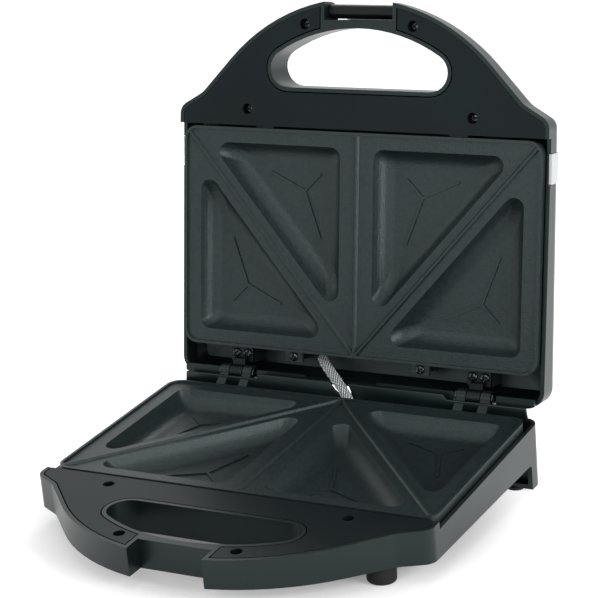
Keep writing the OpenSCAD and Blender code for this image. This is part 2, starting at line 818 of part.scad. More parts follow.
module foot_at() {
  translate([foot_x, -foot_y, bottom_at(-foot_y)]) rotate([-tilt, 0, 0]) children();
}

// Height of the bottom of the base above the table at the front feet
foot_h = lift + bottom_at(-foot_y) * cos(tilt) - foot_y * sin(tilt);

// Round rubber feet: a peg pushed into the base and a body with a soft lower edge
module front_feet() {
  color("#101112") stand() both_sides() foot_at() {
    translate([0, 0, -foot_h]) difference() {
      rotate_extrude($fn = bore_fn) polygon(concat(
        [[0, 0]],
        corner([0, 0], [foot_r, 0], [foot_r, foot_h], 2, 6),
        [[foot_r, foot_h + 3], [0, foot_h + 3]]
      ));
      translate([0, 0, foot_h]) rotate([tilt - base_slope, 0, 0])
        translate([-20, -20, 0]) cube([40, 40, 20]);
    }
    translate([0, 0, -1]) cylinder(h = skin + 2.2, r = foot_peg_r, $fn = bore_fn);
  }
}

module rear_pads() {
  color("#101112") stand() both_sides() table_frame()
    translate([half_w - 11.5, leg_front + 6.3, 0]) cylinder(h = pad_t, r = 4.6, $fn = bore_fn);
}

pin_over = 1.6;
pin_half = ear_in + ear_w + pin_over;

module hinge_pins() {
  color("#b9bcbe") stand() both_sides()
    rod_x(hinge_x - pin_half, hinge_x + pin_half, pin_y, pin_z, pin_r);
}

// Spring clips on the ends of the hinge pins
module hinge_clips() {
  color("#c9ccce") stand() both_sides()
    for (x = [hinge_x - pin_half + 0.3, hinge_x + pin_half - 1.1]) difference() {
      rod_x(x, x + 0.8, pin_y, pin_z, pin_r + 1.7);
      rod_x(x - 1, x + 2, pin_y, pin_z, pin_r + 0.03);
      translate([x - 1, pin_y - 0.8, pin_z]) cube([3, 1.6, 8]);
    }
}

// ---------------------------------------------------------------- braided sleeve

sleeve_steps = 16;
sleeve_sides = 10;
// Where the sleeve leaves the lid, in the shut position, and where it enters the base
sleeve_lid = [-25, plate_d + 4, 12];
sleeve_base = [3, plate_d + 3.4, -8];

function opened(p) =
  let (q = turned([p.y - pin_y, p.z - pin_z], -lid_open)) [p.x, q.x + pin_y, q.y + pin_z];

sleeve_path = [
  opened(sleeve_lid), opened(sleeve_lid) + [6, -9, -3], [2, plate_d + 3.6, 3], sleeve_base
];

function bezier(c, t) =
  c[0] * pow(1 - t, 3) + c[1] * 3 * t * pow(1 - t, 2) + c[2] * 3 * t * t * (1 - t) + c[3] * pow(t, 3);

// Ring of points across the sleeve at t, square to its path
function sleeve_ring(t) =
  let (p = bezier(sleeve_path, t))
  let (way = unit(bezier(sleeve_path, t + 0.01) - bezier(sleeve_path, t - 0.01)))
  let (u = unit(cross(way, [1, 0, 0])), v = cross(way, u))
  [for (i = [0:sleeve_sides - 1])
    let (a = 360 * i / sleeve_sides)
    p + (u * cos(a) + v * sin(a)) * sleeve_d / 2];

module wire_sleeve() {
  color("#9aa0a2") stand() loft([for (i = [0:sleeve_steps]) sleeve_ring(i / sleeve_steps)]);
}

// ---------------------------------------------------------------- lid housing

top_slope = tan(lid_slope);
top_z = lid_front_h + reach * top_slope;

// Inset and height below the top plane, from the edge of the lid up to its crown
lid_profile = [[0.7, -7], [1.5, -3.2], [3.3, -1], [6.5, 0], [14, crown * 0.55], [25, crown]];

function lid_ring(d, z) = on_plane(housing_ring(d, lid_back), z, top_slope);

// The outside of the lid
module lid_form() {
  difference() {
    loft(concat(
      [lid_ring(0, -12)],
      [for (p = lid_profile) lid_ring(p[0], top_z + p[1])]
    ));
    translate([-big, -big, -big + face_drop]) cube([2 * big, 2 * big, big]);
  }
}

module lid_hollow() {
  loft([
    lid_ring(wall, -14), lid_ring(wall + 0.8, top_z - 8.5),
    lid_ring(wall + 4.4, top_z - skin), lid_ring(27, top_z + crown - skin)
  ]);
}

// Half of the section across the lid at the front of the band, grown by g
function band_section(g) = concat(
  [for (p = lid_profile) [half_w + g - p[0], p[1] + g]],
  [[0, crown + g]]
);

// The lid's section swept back along the band, between growths g1 and g2
module band_sweep(g1, g2, z1, y1, y2) {
  outer = band_section(g2);
  inner = band_section(g1);
  low = z1 - top_z - top_slope * y1;
  both_sides() translate([0, y1, top_z + top_slope * y1]) rotate([lid_slope, 0, 0])
    translate([0, 0, 0]) rotate([90, 0, 0]) mirror([0, 0, 1]) linear_extrude(y2 - y1)
      polygon(concat(
        [[outer[0].x, low]], outer,
        [for (i = [len(inner) - 1:-1:0]) inner[i]], [[inner[0].x, low]]
      ));
}

bracket_z = 6;
bracket_t = 2.5;
bracket_screws = [-3.6, 3.6];
bracket_w = 14;
bracket_y1 = plate_d + 1.2;
bracket_y2 = plate_d + 9.5;
bracket_screw_y = plate_d + 4.6;

module at_bracket_screws() {
  both_sides() for (x = bracket_screws)
    translate([hinge_x + x, bracket_screw_y, bracket_z]) children();
}

lamp_r = 2.2;
lamp_l = 4.5;
band_mid = band_y + band_w / 2;

// Frame of an indicator: its origin on the crown of the lid, square to the top
module at_lens(side) {
  translate([side * lens_x, band_mid, top_z + crown + top_slope * band_mid])
    rotate([lid_slope, 0, 0]) children();
}

latch_pin_y = latch_y - reach;

module lid_posts() {
  translate([0, 0, face_drop]) upside_down() housing_posts(60);
  // Bosses under the hinge brackets
  both_sides() translate([hinge_x - bracket_w / 2, bracket_y1, bracket_z + bracket_t])
    cube([bracket_w, 9, 40]);
  // Flange along the back, round the hinges
  translate([-half_w, lid_back - 5.5, 0]) cube([housing_w, 6, wall + face_drop]);
  // Collars behind the latch pin
  both_sides() rod_x(notch_w / 2, notch_w / 2 + wall + 2.4, latch_pin_y, latch_z, 3.2);
  // Collars round the lenses
  for (s = [-1, 1]) at_lens(s) translate([0, 0, -8]) cylinder(h = 16, r = lens_r + 1.6, $fn = bore_fn);
}

sleeve_slot = 46;

module lid_shell() {
  color("#1a1e20") swing() difference() {
    lid_form();
    difference() {
      lid_hollow();
      lid_posts();
    }
    // The side walls stay lower than the handle face; the back wall keeps its depth
    translate([-big / 2, -face_back, -big / 2])
      cube([big, lid_back - 5.5 + face_back, big / 2 + side_drop]);
    both_sides() translate([half_w - 4.5, -face_back, -big / 2]) cube([20, big, big / 2 + side_drop]);
    // Room for the hinge ears and for the sleeve in the back wall
    both_sides() translate([hinge_x - pin_half - 1, pin_y - 8, -1])
      cube([2 * pin_half + 2, 20, pin_z + knuckle_r + 1.7]);
    translate([-8 - sleeve_slot / 2, pin_y - 8, -1]) cube([sleeve_slot, 20, pin_z + knuckle_r + 1.7]);
    translate([0, 0, face_drop]) upside_down() housing_holes(60);
    at_bracket_screws() cylinder(h = bracket_t + screw_l - 1, r = screw_r + pilot_play, $fn = bore_fn);
    rod_x(-notch_w / 2 - wall, notch_w / 2 + wall, latch_pin_y, latch_z, latch_pin_r + 0.04);
    for (s = [-1, 1]) at_lens(s) {
      cylinder(h = 20, r = lens_r + 0.1, center = true, $fn = bore_fn);
      translate([0, 0, -20]) cylinder(h = 20 - 3.9, r = lamp_r + 0.15, $fn = bore_fn);
    }
    band_sweep(-band_sink, 6, 0, band_y - 0.4, band_y + band_w + 0.4);
  }
}

// Silver band that wraps over the lid and down both sides
module lid_band() {
  color("#cfd3d6") swing() difference() {
    band_sweep(-band_sink + 0.1, band_proud, side_drop + 0.4, band_y, band_y + band_w);
    for (s = [-1, 1]) at_lens(s) cylinder(h = 20, r = lens_r + 0.1, center = true, $fn = bore_fn);
  }
}

module lid_face() {
  color("#23282a") swing() translate([0, 0, face_drop]) upside_down() handle_face();
}

module lid_face_screws() {
  color("silver") swing() upside_down() translate([0, 0, -face_drop - cup_h + cup_floor])
    at_face_screws() screw(screw_l);
}

module upper_plate() {
  color("#343b3d") swing() upside_down() translate([0, 0, -rim_gap / 2]) plate();
}

module upper_plate_screws() {
  color("silver") swing() upside_down() translate([0, 0, -rim_gap / 2]) plate_screws();
}

module upper_element() {
  color("#8a8783") swing() upside_down() translate([0, 0, -rim_gap / 2]) element();
}

module upper_element_saddles() {
  color("#a7a9aa") swing() upside_down() translate([0, 0, -rim_gap / 2]) element_saddles();
}

module upper_reflector() {
  color("#c3c6c8") swing() upside_down() translate([0, 0, -rim_gap / 2]) reflector();
}

module upper_reflector_screws() {
  color("silver") swing() upside_down() translate([0, 0, -rim_gap / 2]) reflector_screws();
}

// Steel brackets: a foot screwed to the lid and a knuckle on the hinge pin
module hinge_brackets() {
  color("#2b2f31") swing() both_sides() difference() {
    union() {
      translate([hinge_x - bracket_w / 2, bracket_y1, bracket_z])
        cube([bracket_w, bracket_y2 - bracket_y1, bracket_t]);
      translate([hinge_x - knuckle_w / 2, bracket_y2 - 2, pin_z])
        cube([knuckle_w, pin_y - bracket_y2 + 2, bracket_z + bracket_t - pin_z]);
      rod_x(hinge_x - knuckle_w / 2, hinge_x + knuckle_w / 2, pin_y, pin_z, knuckle_r);
    }
    rod_x(hinge_x - 30, hinge_x + 30, pin_y, pin_z, pin_r + pin_play);
    for (x = bracket_screws) translate([hinge_x + x, bracket_screw_y, bracket_z - 1])
      cylinder(h = bracket_t + 2, r = screw_r + hole_play, $fn = bore_fn);
  }
}

module hinge_screws() {
  color("silver") swing() at_bracket_screws() upside_down() screw(screw_l);
}

module lens() {
  translate([0, 0, -3.8]) cylinder(h = 3.8 + band_proud, r = lens_r, $fn = bore_fn);
  translate([0, 0, band_proud - eps]) intersection() {
    cylinder(h = lens_h + eps, r = lens_r, $fn = bore_fn);
    dome_r = (lens_r * lens_r + lens_h * lens_h) / (2 * lens_h);
    translate([0, 0, lens_h - dome_r]) sphere(r = dome_r, $fn = bore_fn);
  }
}

module power_lens() {
  color("#b5231c") swing() at_lens(-1) lens();
}

module ready_lens() {
  color("#2f8f46") swing() at_lens(1) lens();
}

// Neon lamps behind the lenses
module pilot_lamps() {
  color("#e6c9a0") swing() for (s = [-1, 1]) at_lens(s)
    translate([0, 0, -3.9 - lamp_l]) cylinder(h = lamp_l, r = lamp_r, $fn = bore_fn);
}

// ---------------------------------------------------------------- latch

// Bottom of the handle bar behind the notch, measured from the latch pin
notch_back = notch_d - latch_y;
bar_bottom = bottom_at(notch_d - reach) - latch_z + bottom_slope * (hook + 1);

// Swinging clip: a barrel on the latch pin, an arm and a hook that grips under the base
module latch_clip() {
  hook_top = bar_bottom - hook_gap;
  arm_in = notch_back - 0.9;
  arm_out = arm_in - latch_t;
  tip = notch_back + hook;
  low = hook_top - hook_h;
  color("#15181a") flip() translate([-notch_w / 2 + latch_gap, latch_pin_y, latch_z])
    rotate([90, 0, 90]) linear_extrude(notch_w - 2 * latch_gap) difference() {
      union() {
        circle(r = latch_r, $fn = bore_fn);
        polygon([
          [arm_out, 1], [arm_out, low + 6], [arm_out - 2.4, low + 2.4], [arm_out - 2.4, low],
          [tip - 1.1, low], [tip, low + 1.2], [tip, hook_top], [arm_in, hook_top], [arm_in, 1]
        ]);
      }
      circle(r = latch_pin_r + pin_play, $fn = bore_fn);
    }
}

module latch_pin() {
  color("#b9bcbe") swing()
    rod_x(-notch_w / 2 - wall + 0.1, notch_w / 2 + wall - 0.1, latch_pin_y, latch_z, latch_pin_r);
}

base_shell();
base_face();
base_face_screws();
lower_plate();
lower_plate_screws();
lower_element();
lower_element_saddles();
lower_reflector();
lower_reflector_screws();
thermostat();
terminal_block();
cord_inlet();
front_feet();
rear_pads();
hinge_pins();
hinge_clips();
wire_sleeve();
lid_shell();
lid_band();
lid_face();
lid_face_screws();
upper_plate();
upper_plate_screws();
upper_element();
upper_element_saddles();
upper_reflector();
upper_reflector_screws();
hinge_brackets();
hinge_screws();
power_lens();
ready_lens();
pilot_lamps();
latch_clip();
latch_pin();
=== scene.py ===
# %% [markdown]
# # A hinged sandwich toaster, standing open
# The object is two black moulded housings joined by a hinge. Each one carries a cast
# aluminium plate with triangular pockets, and ends in a looped handle. The solid model
# gives every piece its place and size, so this lesson dresses those pieces: it rounds
# their edges, gives each one the finish of its real material, and builds the screws and
# the braided sleeve, which are too fine for the solid model.

# %% Load the solid model
import math
import random
import bpy
import bmesh
from mathutils import Matrix, Vector


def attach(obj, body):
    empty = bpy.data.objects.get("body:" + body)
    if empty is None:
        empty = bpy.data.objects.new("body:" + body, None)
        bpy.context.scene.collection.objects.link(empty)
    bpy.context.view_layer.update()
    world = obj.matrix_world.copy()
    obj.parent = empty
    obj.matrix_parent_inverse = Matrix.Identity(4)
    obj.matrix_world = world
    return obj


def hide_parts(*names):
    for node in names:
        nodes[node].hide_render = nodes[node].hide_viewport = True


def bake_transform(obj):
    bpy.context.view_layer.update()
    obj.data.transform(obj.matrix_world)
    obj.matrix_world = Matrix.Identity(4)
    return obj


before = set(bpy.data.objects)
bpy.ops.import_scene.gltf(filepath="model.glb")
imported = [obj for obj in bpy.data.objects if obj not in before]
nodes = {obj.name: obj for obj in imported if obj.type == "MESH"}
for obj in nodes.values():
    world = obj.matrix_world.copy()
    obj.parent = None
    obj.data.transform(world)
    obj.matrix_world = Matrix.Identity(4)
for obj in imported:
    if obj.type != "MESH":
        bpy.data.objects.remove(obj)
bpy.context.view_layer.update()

# %% [markdown]
# ## Two frames
# The housings were drawn flat: x across, y back from the front of the plates, z up from
# the plane where the plates meet. On the table the toaster leans forward by 5 degrees, and
# the lid stands open about the hinge pins. Two small functions carry a point from the
# drawing to the table, in metres, so every place below can be written as on the drawing.

# %% From the drawing to the table
MM = 0.001
TILT = math.radians(5.0)
TABLE_DROP = 30.5
MIDDLE_Y = 65.58
LID_OPEN = math.radians(101.7)
PIN = (143.9, 1.9)

stand = (Matrix.Scale(MM, 4)
         @ Matrix.Translation((0, -MIDDLE_Y, TABLE_DROP * math.cos(TILT)))
         @ Matrix.Rotation(TILT, 4, "X"))
swing = (stand @ Matrix.Translation((0, PIN[0], PIN[1]))
         @ Matrix.Rotation(-LID_OPEN, 4, "X")
         @ Matrix.Translation((0, -PIN[0], -PIN[1])))


def direction(matrix, v):
    """The unit vector that a drawing direction becomes."""
    return (matrix.to_3x3() @ Vector(v)).normalized()


print("hinge pin stands at", [round(c, 4) for c in stand @ Vector((0, *PIN))])

# %% [markdown]
# ## The camera
# A long lens keeps the toaster's sides nearly parallel. The camera looks from the handle
# side, right of the middle and a little above. It could be aimed with a constraint, but its
# own axes are written here, because a small roll about the view line is part of the view.

# %% Camera
eye = stand @ Vector((483.3, -806.2, 431.1))
ahead = direction(stand, (-0.4489, 0.8298, -0.3318))
upward = direction(stand, (-0.0799, 0.3327, 0.9398))
across = ahead.cross(upward).normalized()
upward = across.cross(ahead).normalized()

camera_data = bpy.data.cameras.new("camera")
camera_data.sensor_width = 36.0
camera_data.lens = 120.72
camera = bpy.data.objects.new("camera", camera_data)
camera.matrix_world = Matrix((
    (across.x, upward.x, -ahead.x, eye.x),
    (across.y, upward.y, -ahead.y, eye.y),
    (across.z, upward.z, -ahead.z, eye.z),
    (0, 0, 0, 1)))
bpy.context.scene.collection.objects.link(camera)
bpy.context.scene.camera = camera
print("camera", round(eye.length, 3), "m from the middle of the toaster's foot")


# %% [markdown]
# ## Materials in nodes
# A finish is a small graph of shader nodes. One function turns a hex colour to the linear
# values that the shader needs, and one adds a node with its settings and links, so each
# material below reads as a list of what it is made of. Patterns read Object coordinates,
# which are metres here, so a scale of 1000 counts millimetres.

# %% Helpers for materials
def linear(hex_colour):
    """A hex sRGB colour as linear RGBA."""
    out = []
    for i in (1, 3, 5):
        c = int(hex_colour[i:i + 2], 16) / 255
        out.append(c / 12.92 if c <= 0.04045 else ((c + 0.055) / 1.055) ** 2.4)
    return (*out, 1.0)


def add(tree, kind, settings=None, **sockets):
    """Adds one node. settings are its properties; sockets are values or links."""
    node = tree.nodes.new(kind)
    for key, value in (settings or {}).items():
        setattr(node, key, value)
    for name, value in sockets.items():
        key = int(name[1:]) if name[0] == "_" else name.replace("_", " ")
        socket = node.inputs[key]
        if isinstance(value, bpy.types.NodeSocket):
            tree.links.new(value, socket)
        else:
            socket.default_value = value
    return node


def new_material(name):
    material = bpy.data.materials.new(name)
    material.use_nodes = True
    tree = material.node_tree
    shader = tree.nodes["Principled BSDF"]
    return material, tree, shader


def set_shader(shader, **values):
    for name, value in values.items():
        shader.inputs[name.replace("_", " ")].default_value = value


def shades(tree, dark, light, factor):
    """A ramp between two hex colours, driven by a factor socket."""
    ramp = add(tree, "ShaderNodeValToRGB", None, Fac=factor)
    ramp.color_ramp.elements[0].color = linear(dark)
    ramp.color_ramp.elements[1].color = linear(light)
    ramp.color_ramp.elements[0].position = 0.3
    ramp.color_ramp.elements[1].position = 0.7
    return ramp


WHITE = linear("#ffffff")
materials = {}


def moulded(name, dark, light, roughness, spread, grain_mm, bump, specular=0.5, tint=WHITE):
    """Moulded plastic: a fine spark-eroded grain, and a slow drift of shade and gloss."""
    material, tree, shader = new_material(name)
    place = add(tree, "ShaderNodeTexCoord").outputs["Object"]
    grain = add(tree, "ShaderNodeTexNoise", None, Vector=place,
                Scale=1 / (grain_mm * MM), Detail=3.0)
    drift = add(tree, "ShaderNodeTexNoise", None, Vector=place, Scale=18.0, Detail=2.0)
    gloss = add(tree, "ShaderNodeMapRange", None, Value=drift.outputs["Fac"],
                To_Min=roughness - spread, To_Max=roughness + spread)
    relief = add(tree, "ShaderNodeBump", None, Height=grain.outputs["Fac"], Strength=bump,
                 Distance=0.05 * MM)
    colour = shades(tree, dark, light, drift.outputs["Fac"])
    tree.links.new(colour.outputs["Color"], shader.inputs["Base Color"])
    tree.links.new(gloss.outputs["Result"], shader.inputs["Roughness"])
    tree.links.new(relief.outputs["Normal"], shader.inputs["Normal"])
    set_shader(shader, IOR=1.5, Specular_IOR_Level=specular, Specular_Tint=tint)
    materials[name] = material


print("hex grey 80 is", round(linear("#808080")[0], 3), "to the shader")


# %% [markdown]
# ## Heat-resistant black mouldings
# The housings are glass-filled polyamide: nearly black, with a satin skin from the mould
# that spreads a highlight over a few degrees. The handle panels are the same plastic from
# a finer mould, so they look flatter and a little darker. A single grey would do from
# afar, but the slow drift of gloss is what makes a broad moulding look moulded.

# %% Plastics and rubber
COOL = linear("#eafffd")  # the pigment gives the sheen of both plastics a cool green cast
moulded("black_glass_filled_polyamide", "#0a1011", "#111a1b", 0.34, 0.05, 0.5, 0.12, 0.34,
        COOL)
moulded("charcoal_panel_polyamide", "#0a0f11", "#10171a", 0.4, 0.05, 0.35, 0.10, 0.16,
        COOL)
moulded("black_latch_polyamide", "#0c0e0f", "#121516", 0.32, 0.04, 0.5, 0.10, 0.2)
moulded("silver_sprayed_abs", "#c4c9cc", "#d6dadd", 0.38, 0.04, 0.3, 0.06)
moulded("black_moulded_rubber", "#0d0e0e", "#151616", 0.75, 0.06, 0.6, 0.30, 0.3)
moulded("pale_phenolic_moulding", "#cfc8b6", "#ddd7c8", 0.55, 0.05, 0.8, 0.20)
print("plastics:", ", ".join(materials))


# %% [markdown]
# ## Non-stick castings
# The plates are die-cast aluminium sprayed with a dark fluoropolymer coat over a bead
# blasted surface. The coat is matt with a fine orange-peel, and the blasting leaves a dense
# stipple a third of a millimetre across. It is drawn at 0.9 mm, because a finer one would
# not show. Its cells lie close and even, as the blasted cells of a casting die do.

# %% Non-stick coat
STIPPLE_MM, PEEL_MM = 0.9, 2.5


def nonstick_coat():
    material, tree, shader = new_material("fluoropolymer_coated_casting")
    place = add(tree, "ShaderNodeTexCoord").outputs["Object"]
    cells = add(tree, "ShaderNodeTexVoronoi", {"feature": "F1"}, Vector=place,
                Scale=1 / (STIPPLE_MM * MM), Randomness=0.55)
    peel = add(tree, "ShaderNodeTexNoise", None, Vector=place, Scale=1 / (PEEL_MM * MM), Detail=2.0)
    height = add(tree, "ShaderNodeMath", {"operation": "MULTIPLY_ADD"}, _0=peel.outputs["Fac"],
                 _1=0.6, _2=cells.outputs["Distance"])
    relief = add(tree, "ShaderNodeBump", None, Height=height.outputs["Value"], Strength=0.75,
                 Distance=0.16 * MM)
    gloss = add(tree, "ShaderNodeMapRange", None, Value=peel.outputs["Fac"],
                To_Min=0.34, To_Max=0.44)
    colour = shades(tree, "#1b2223", "#232c2d", peel.outputs["Fac"])
    tree.links.new(colour.outputs["Color"], shader.inputs["Base Color"])
    tree.links.new(gloss.outputs["Result"], shader.inputs["Roughness"])
    tree.links.new(relief.outputs["Normal"], shader.inputs["Normal"])
    set_shader(shader, IOR=1.5, Specular_IOR_Level=0.36, Specular_Tint=linear("#efffff"))
    materials[material.name] = material


nonstick_coat()
print("coat: stipple", STIPPLE_MM, "mm, orange-peel", PEEL_MM, "mm")


# %% [markdown]
# ## Metals
# Saddles and the latch pin are zinc-plated steel: bright, faintly mottled where the
# plating varies. The screws and the hinge pins are oxidised black and oiled, so they are
# dark with a sharp glint. The reflectors are rolled aluminised sheet, with grain drawn out
# along x, and the element's sheath is annealed steel, grey-brown and dull. The hinge
# brackets are blackened steel. Each is a full metal in the shader, told apart by its colour,
# its roughness and the shape of its grain.

# %% Metal finishes
def metal(name, dark, light, roughness, stretch, grain_mm, bump):
    material, tree, shader = new_material(name)
    place = add(tree, "ShaderNodeTexCoord").outputs["Object"]
    drawn = add(tree, "ShaderNodeMapping", None, Vector=place, Scale=stretch)
    grain = add(tree, "ShaderNodeTexNoise", None, Vector=drawn.outputs["Vector"],
                Scale=1 / (grain_mm * MM), Detail=4.0)
    gloss = add(tree, "ShaderNodeMapRange", None, Value=grain.outputs["Fac"],
                To_Min=roughness - 0.06, To_Max=roughness + 0.06)
    relief = add(tree, "ShaderNodeBump", None, Height=grain.outputs["Fac"], Strength=bump,
                 Distance=0.03 * MM)
    colour = shades(tree, dark, light, grain.outputs["Fac"])
    tree.links.new(colour.outputs["Color"], shader.inputs["Base Color"])
    tree.links.new(gloss.outputs["Result"], shader.inputs["Roughness"])
    tree.links.new(relief.outputs["Normal"], shader.inputs["Normal"])
    set_shader(shader, Metallic=1.0)
    materials[name] = material


metal("zinc_plated_steel", "#a9abac", "#cfd0cf", 0.28, (1, 1, 1), 0.8, 0.15)
metal("blackened_steel", "#1c2022", "#2a2f31", 0.38, (1, 1, 1), 0.8, 0.2)
metal("black_oxide_screw_steel", "#2b2f31", "#474c4f", 0.26, (1, 1, 1), 0.8, 0.15)
metal("rolled_aluminised_sheet", "#b9bcbe", "#d3d5d6", 0.32, (0.06, 1, 1), 0.5, 0.25)
metal("annealed_element_sheath", "#75706a", "#948e86", 0.45, (1, 1, 1), 0.7, 0.25)
print("materials:", len(materials))


# %% [markdown]
# ## Clear and woven finishes
# The indicator lenses are tinted clear polycarbonate over neon lamps. The sleeve round the
# lid's wires is braided glass fibre, grey and white yarns with a silky sheen.

# %% Lenses, lamps and yarn
def clear_plastic(name, tint, light_through):
    material, tree, shader = new_material(name)
    place = add(tree, "ShaderNodeTexCoord").outputs["Object"]
    cloud = add(tree, "ShaderNodeTexNoise", None, Vector=place, Scale=400.0)
    colour = shades(tree, tint, light_through, cloud.outputs["Fac"])
    tree.links.new(colour.outputs["Color"], shader.inputs["Base Color"])
    set_shader(shader, Roughness=0.12, IOR=1.58, Transmission_Weight=0.35)
    materials[name] = material


clear_plastic("red_clear_polycarbonate", "#a3140f", "#c4251c")
clear_plastic("green_clear_polycarbonate", "#15743a", "#25964e")
clear_plastic("neon_lamp_glass", "#d9b98c", "#ecd3ad")


def yarn(name, dark, light):
    material, tree, shader = new_material(name)
    place = add(tree, "ShaderNodeTexCoord").outputs["Object"]
    fibres = add(tree, "ShaderNodeTexNoise", None, Vector=place,
                 Scale=1 / (0.35 * MM), Detail=4.0)
    relief = add(tree, "ShaderNodeBump", None, Height=fibres.outputs["Fac"], Strength=0.5,
                 Distance=0.08 * MM)
    colour = shades(tree, dark, light, fibres.outputs["Fac"])
    tree.links.new(colour.outputs["Color"], shader.inputs["Base Color"])
    tree.links.new(relief.outputs["Normal"], shader.inputs["Normal"])
    set_shader(shader, Roughness=0.6, Sheen_Weight=0.4, Sheen_Roughness=0.4)
    materials[name] = material


yarn("white_glass_fibre_yarn", "#c2c7c7", "#eef0ef")
yarn("grey_glass_fibre_yarn", "#565c5e", "#7a8183")
print("all materials:", len(materials))


# %% [markdown]
# ## Dressing a solid
# A solid node is a bag of loose triangles with knife-sharp edges, and no moulding has such
# edges: the mould rounds them, and the rounding is what catches the light along every rim.
# A piece is made from a copy of the node: its triangles are merged, flat areas become single
# faces, and a fine bevel rounds what is sharp. The faces are shaded smooth and only true
# corners stay crisp. Modelling each housing again by hand would give the same skin for much
# more work and could drift from the solid.

# %% Copy, merge and round a node
SAME_PLACE = 0.004 * MM       # corners nearer than this are one corner
SAME_PLANE = math.radians(0.6)  # triangles flatter than this are one face


def dress(node, material, body, round_mm, crisp=32.0):
    """Rounds a copy of a node; edges that turn more than crisp degrees are true corners."""
    mesh = bmesh.new()
    mesh.from_mesh(nodes[node].data)
    bmesh.ops.remove_doubles(mesh, verts=mesh.verts, dist=SAME_PLACE)
    bmesh.ops.dissolve_degenerate(mesh, dist=SAME_PLACE, edges=mesh.edges)
    bmesh.ops.dissolve_limit(mesh, angle_limit=SAME_PLANE, use_dissolve_boundaries=False,
                             verts=mesh.verts, edges=mesh.edges)
    data = bpy.data.meshes.new("dressed_" + node)
    mesh.to_mesh(data)
    mesh.free()
    data.materials.clear()
    data.materials.append(materials[material])
    data.shade_smooth()
    data.set_sharp_from_angle(angle=math.radians(crisp))
    piece = bpy.data.objects.new("dressed_" + node, data)
    bpy.context.scene.collection.objects.link(piece)
    bevel = piece.modifiers.new("mould_radius", "BEVEL")
    bevel.width = round_mm * MM
    bevel.segments = 2
    bevel.limit_method = "ANGLE"
    bevel.angle_limit = math.radians(crisp)
    bevel.use_clamp_overlap = True
    bevel.harden_normals = True
    bevel.miter_outer = "MITER_ARC"
    weighted = piece.modifiers.new("flat_stays_flat", "WEIGHTED_NORMAL")
    weighted.mode = "FACE_AREA"
    weighted.keep_sharp = True
    evaluated = piece.evaluated_get(bpy.context.evaluated_depsgraph_get())
    rounded = bpy.data.meshes.new_from_object(evaluated)
    piece.modifiers.clear()
    piece.data = rounded
    rounded.name = "dressed_" + node
    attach(piece, body)
    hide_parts(node)
    print(node, len(rounded.polygons), "faces")


def paint(node, material):
    """Keeps a solid node as it is and gives it a finish."""
    data = nodes[node].data
    data.materials.clear()
    data.materials.append(materials[material])


print("two ways to dress a node: dress() and paint()")

# %% [markdown]
# ## Housings and handle panels
# Housings, handle panels, band and latch keep the solid's shape. Their edges get a radius
# of a quarter to half a millimetre, which is what such moulds have. The lid's crown meets
# its walls at a gentle angle, so a smaller turn counts as a true corner there.

# %% Housings
dress("base_shell", "black_glass_filled_polyamide", "base", 0.4)
dress("lid_shell", "black_glass_filled_polyamide", "lid", 0.4, crisp=28.0)
dress("base_face", "charcoal_panel_polyamide", "base", 0.5)
dress("lid_face", "charcoal_panel_polyamide", "lid", 0.5)
dress("lid_band", "silver_sprayed_abs", "lid", 0.25)
dress("latch_clip", "black_latch_polyamide", "latch", 0.4)

# %% [markdown]
# ## The cooking plates
# A casting has softer edges than a moulding, and the coat fills them further. The pocket
# walls were drawn as a few bands, so the plates are shaded smooth across angles that the
# housings would keep crisp.

# %% Cooking plates
dress("lower_plate", "fluoropolymer_coated_casting", "base", 0.45, crisp=40.0)
dress("upper_plate", "fluoropolymer_coated_casting", "lid", 0.45, crisp=40.0)

# %% [markdown]
# ## Pieces that keep their solid
# Pins, clips, brackets, elements, reflectors and the small electrical parts already have
# their whole shape, and most of them sit inside. They only need their finish.

# %% Finishes for the other nodes
finishes = {
    "lower_element": "annealed_element_sheath",
    "upper_element": "annealed_element_sheath",
    "lower_element_saddles": "zinc_plated_steel",
    "upper_element_saddles": "zinc_plated_steel",
    "lower_reflector": "rolled_aluminised_sheet",
    "upper_reflector": "rolled_aluminised_sheet",
    "thermostat": "pale_phenolic_moulding",
    "terminal_block": "pale_phenolic_moulding",
    "cord_inlet": "black_latch_polyamide",
    "front_feet": "black_moulded_rubber",
    "rear_pads": "black_moulded_rubber",
    "hinge_pins": "black_oxide_screw_steel",
    "hinge_clips": "black_oxide_screw_steel",
    "hinge_brackets": "blackened_steel",
    "latch_pin": "zinc_plated_steel",
    "power_lens": "red_clear_polycarbonate",
    "ready_lens": "green_clear_polycarbonate",
    "pilot_lamps": "neon_lamp_glass",
}
for node, material in finishes.items():
    paint(node, material)
print("painted:", len(finishes))


# %% [markdown]
# ## Screws by Geometry Nodes
# Every screw is the same: a pan head with a cross recess on a short shank. One screw is
# modelled, and a node tree puts it on a list of points. Each point carries the way the
# screw faces and how far it was turned when the driver let go, so no two crosses line up.
# Copying objects in a loop would do the same, but the tree keeps the sizes in one place
# and its inputs can be changed later.

# %% One screw
def spun(profile, steps):
    """A closed solid of revolution about z from (radius, height) points, top first."""
    mesh = bmesh.new()
    rings = []
    for radius, height in profile:
        if radius == 0:
            rings.append([mesh.verts.new((0, 0, height))])
        else:
            rings.append([mesh.verts.new((radius * math.cos(2 * math.pi * i / steps),
                                          radius * math.sin(2 * math.pi * i / steps), height))
                          for i in range(steps)])
    for upper, lower in zip(rings, rings[1:]):
        for i in range(steps):
            j = (i + 1) % steps
            if len(upper) == 1:
                mesh.faces.new((upper[0], lower[i], lower[j]))
            elif len(lower) == 1:
                mesh.faces.new((upper[j], upper[i], lower[0]))
            else:
                mesh.faces.new((upper[i], lower[i], lower[j], upper[j]))
    bmesh.ops.recalc_face_normals(mesh, faces=mesh.faces)
    return mesh


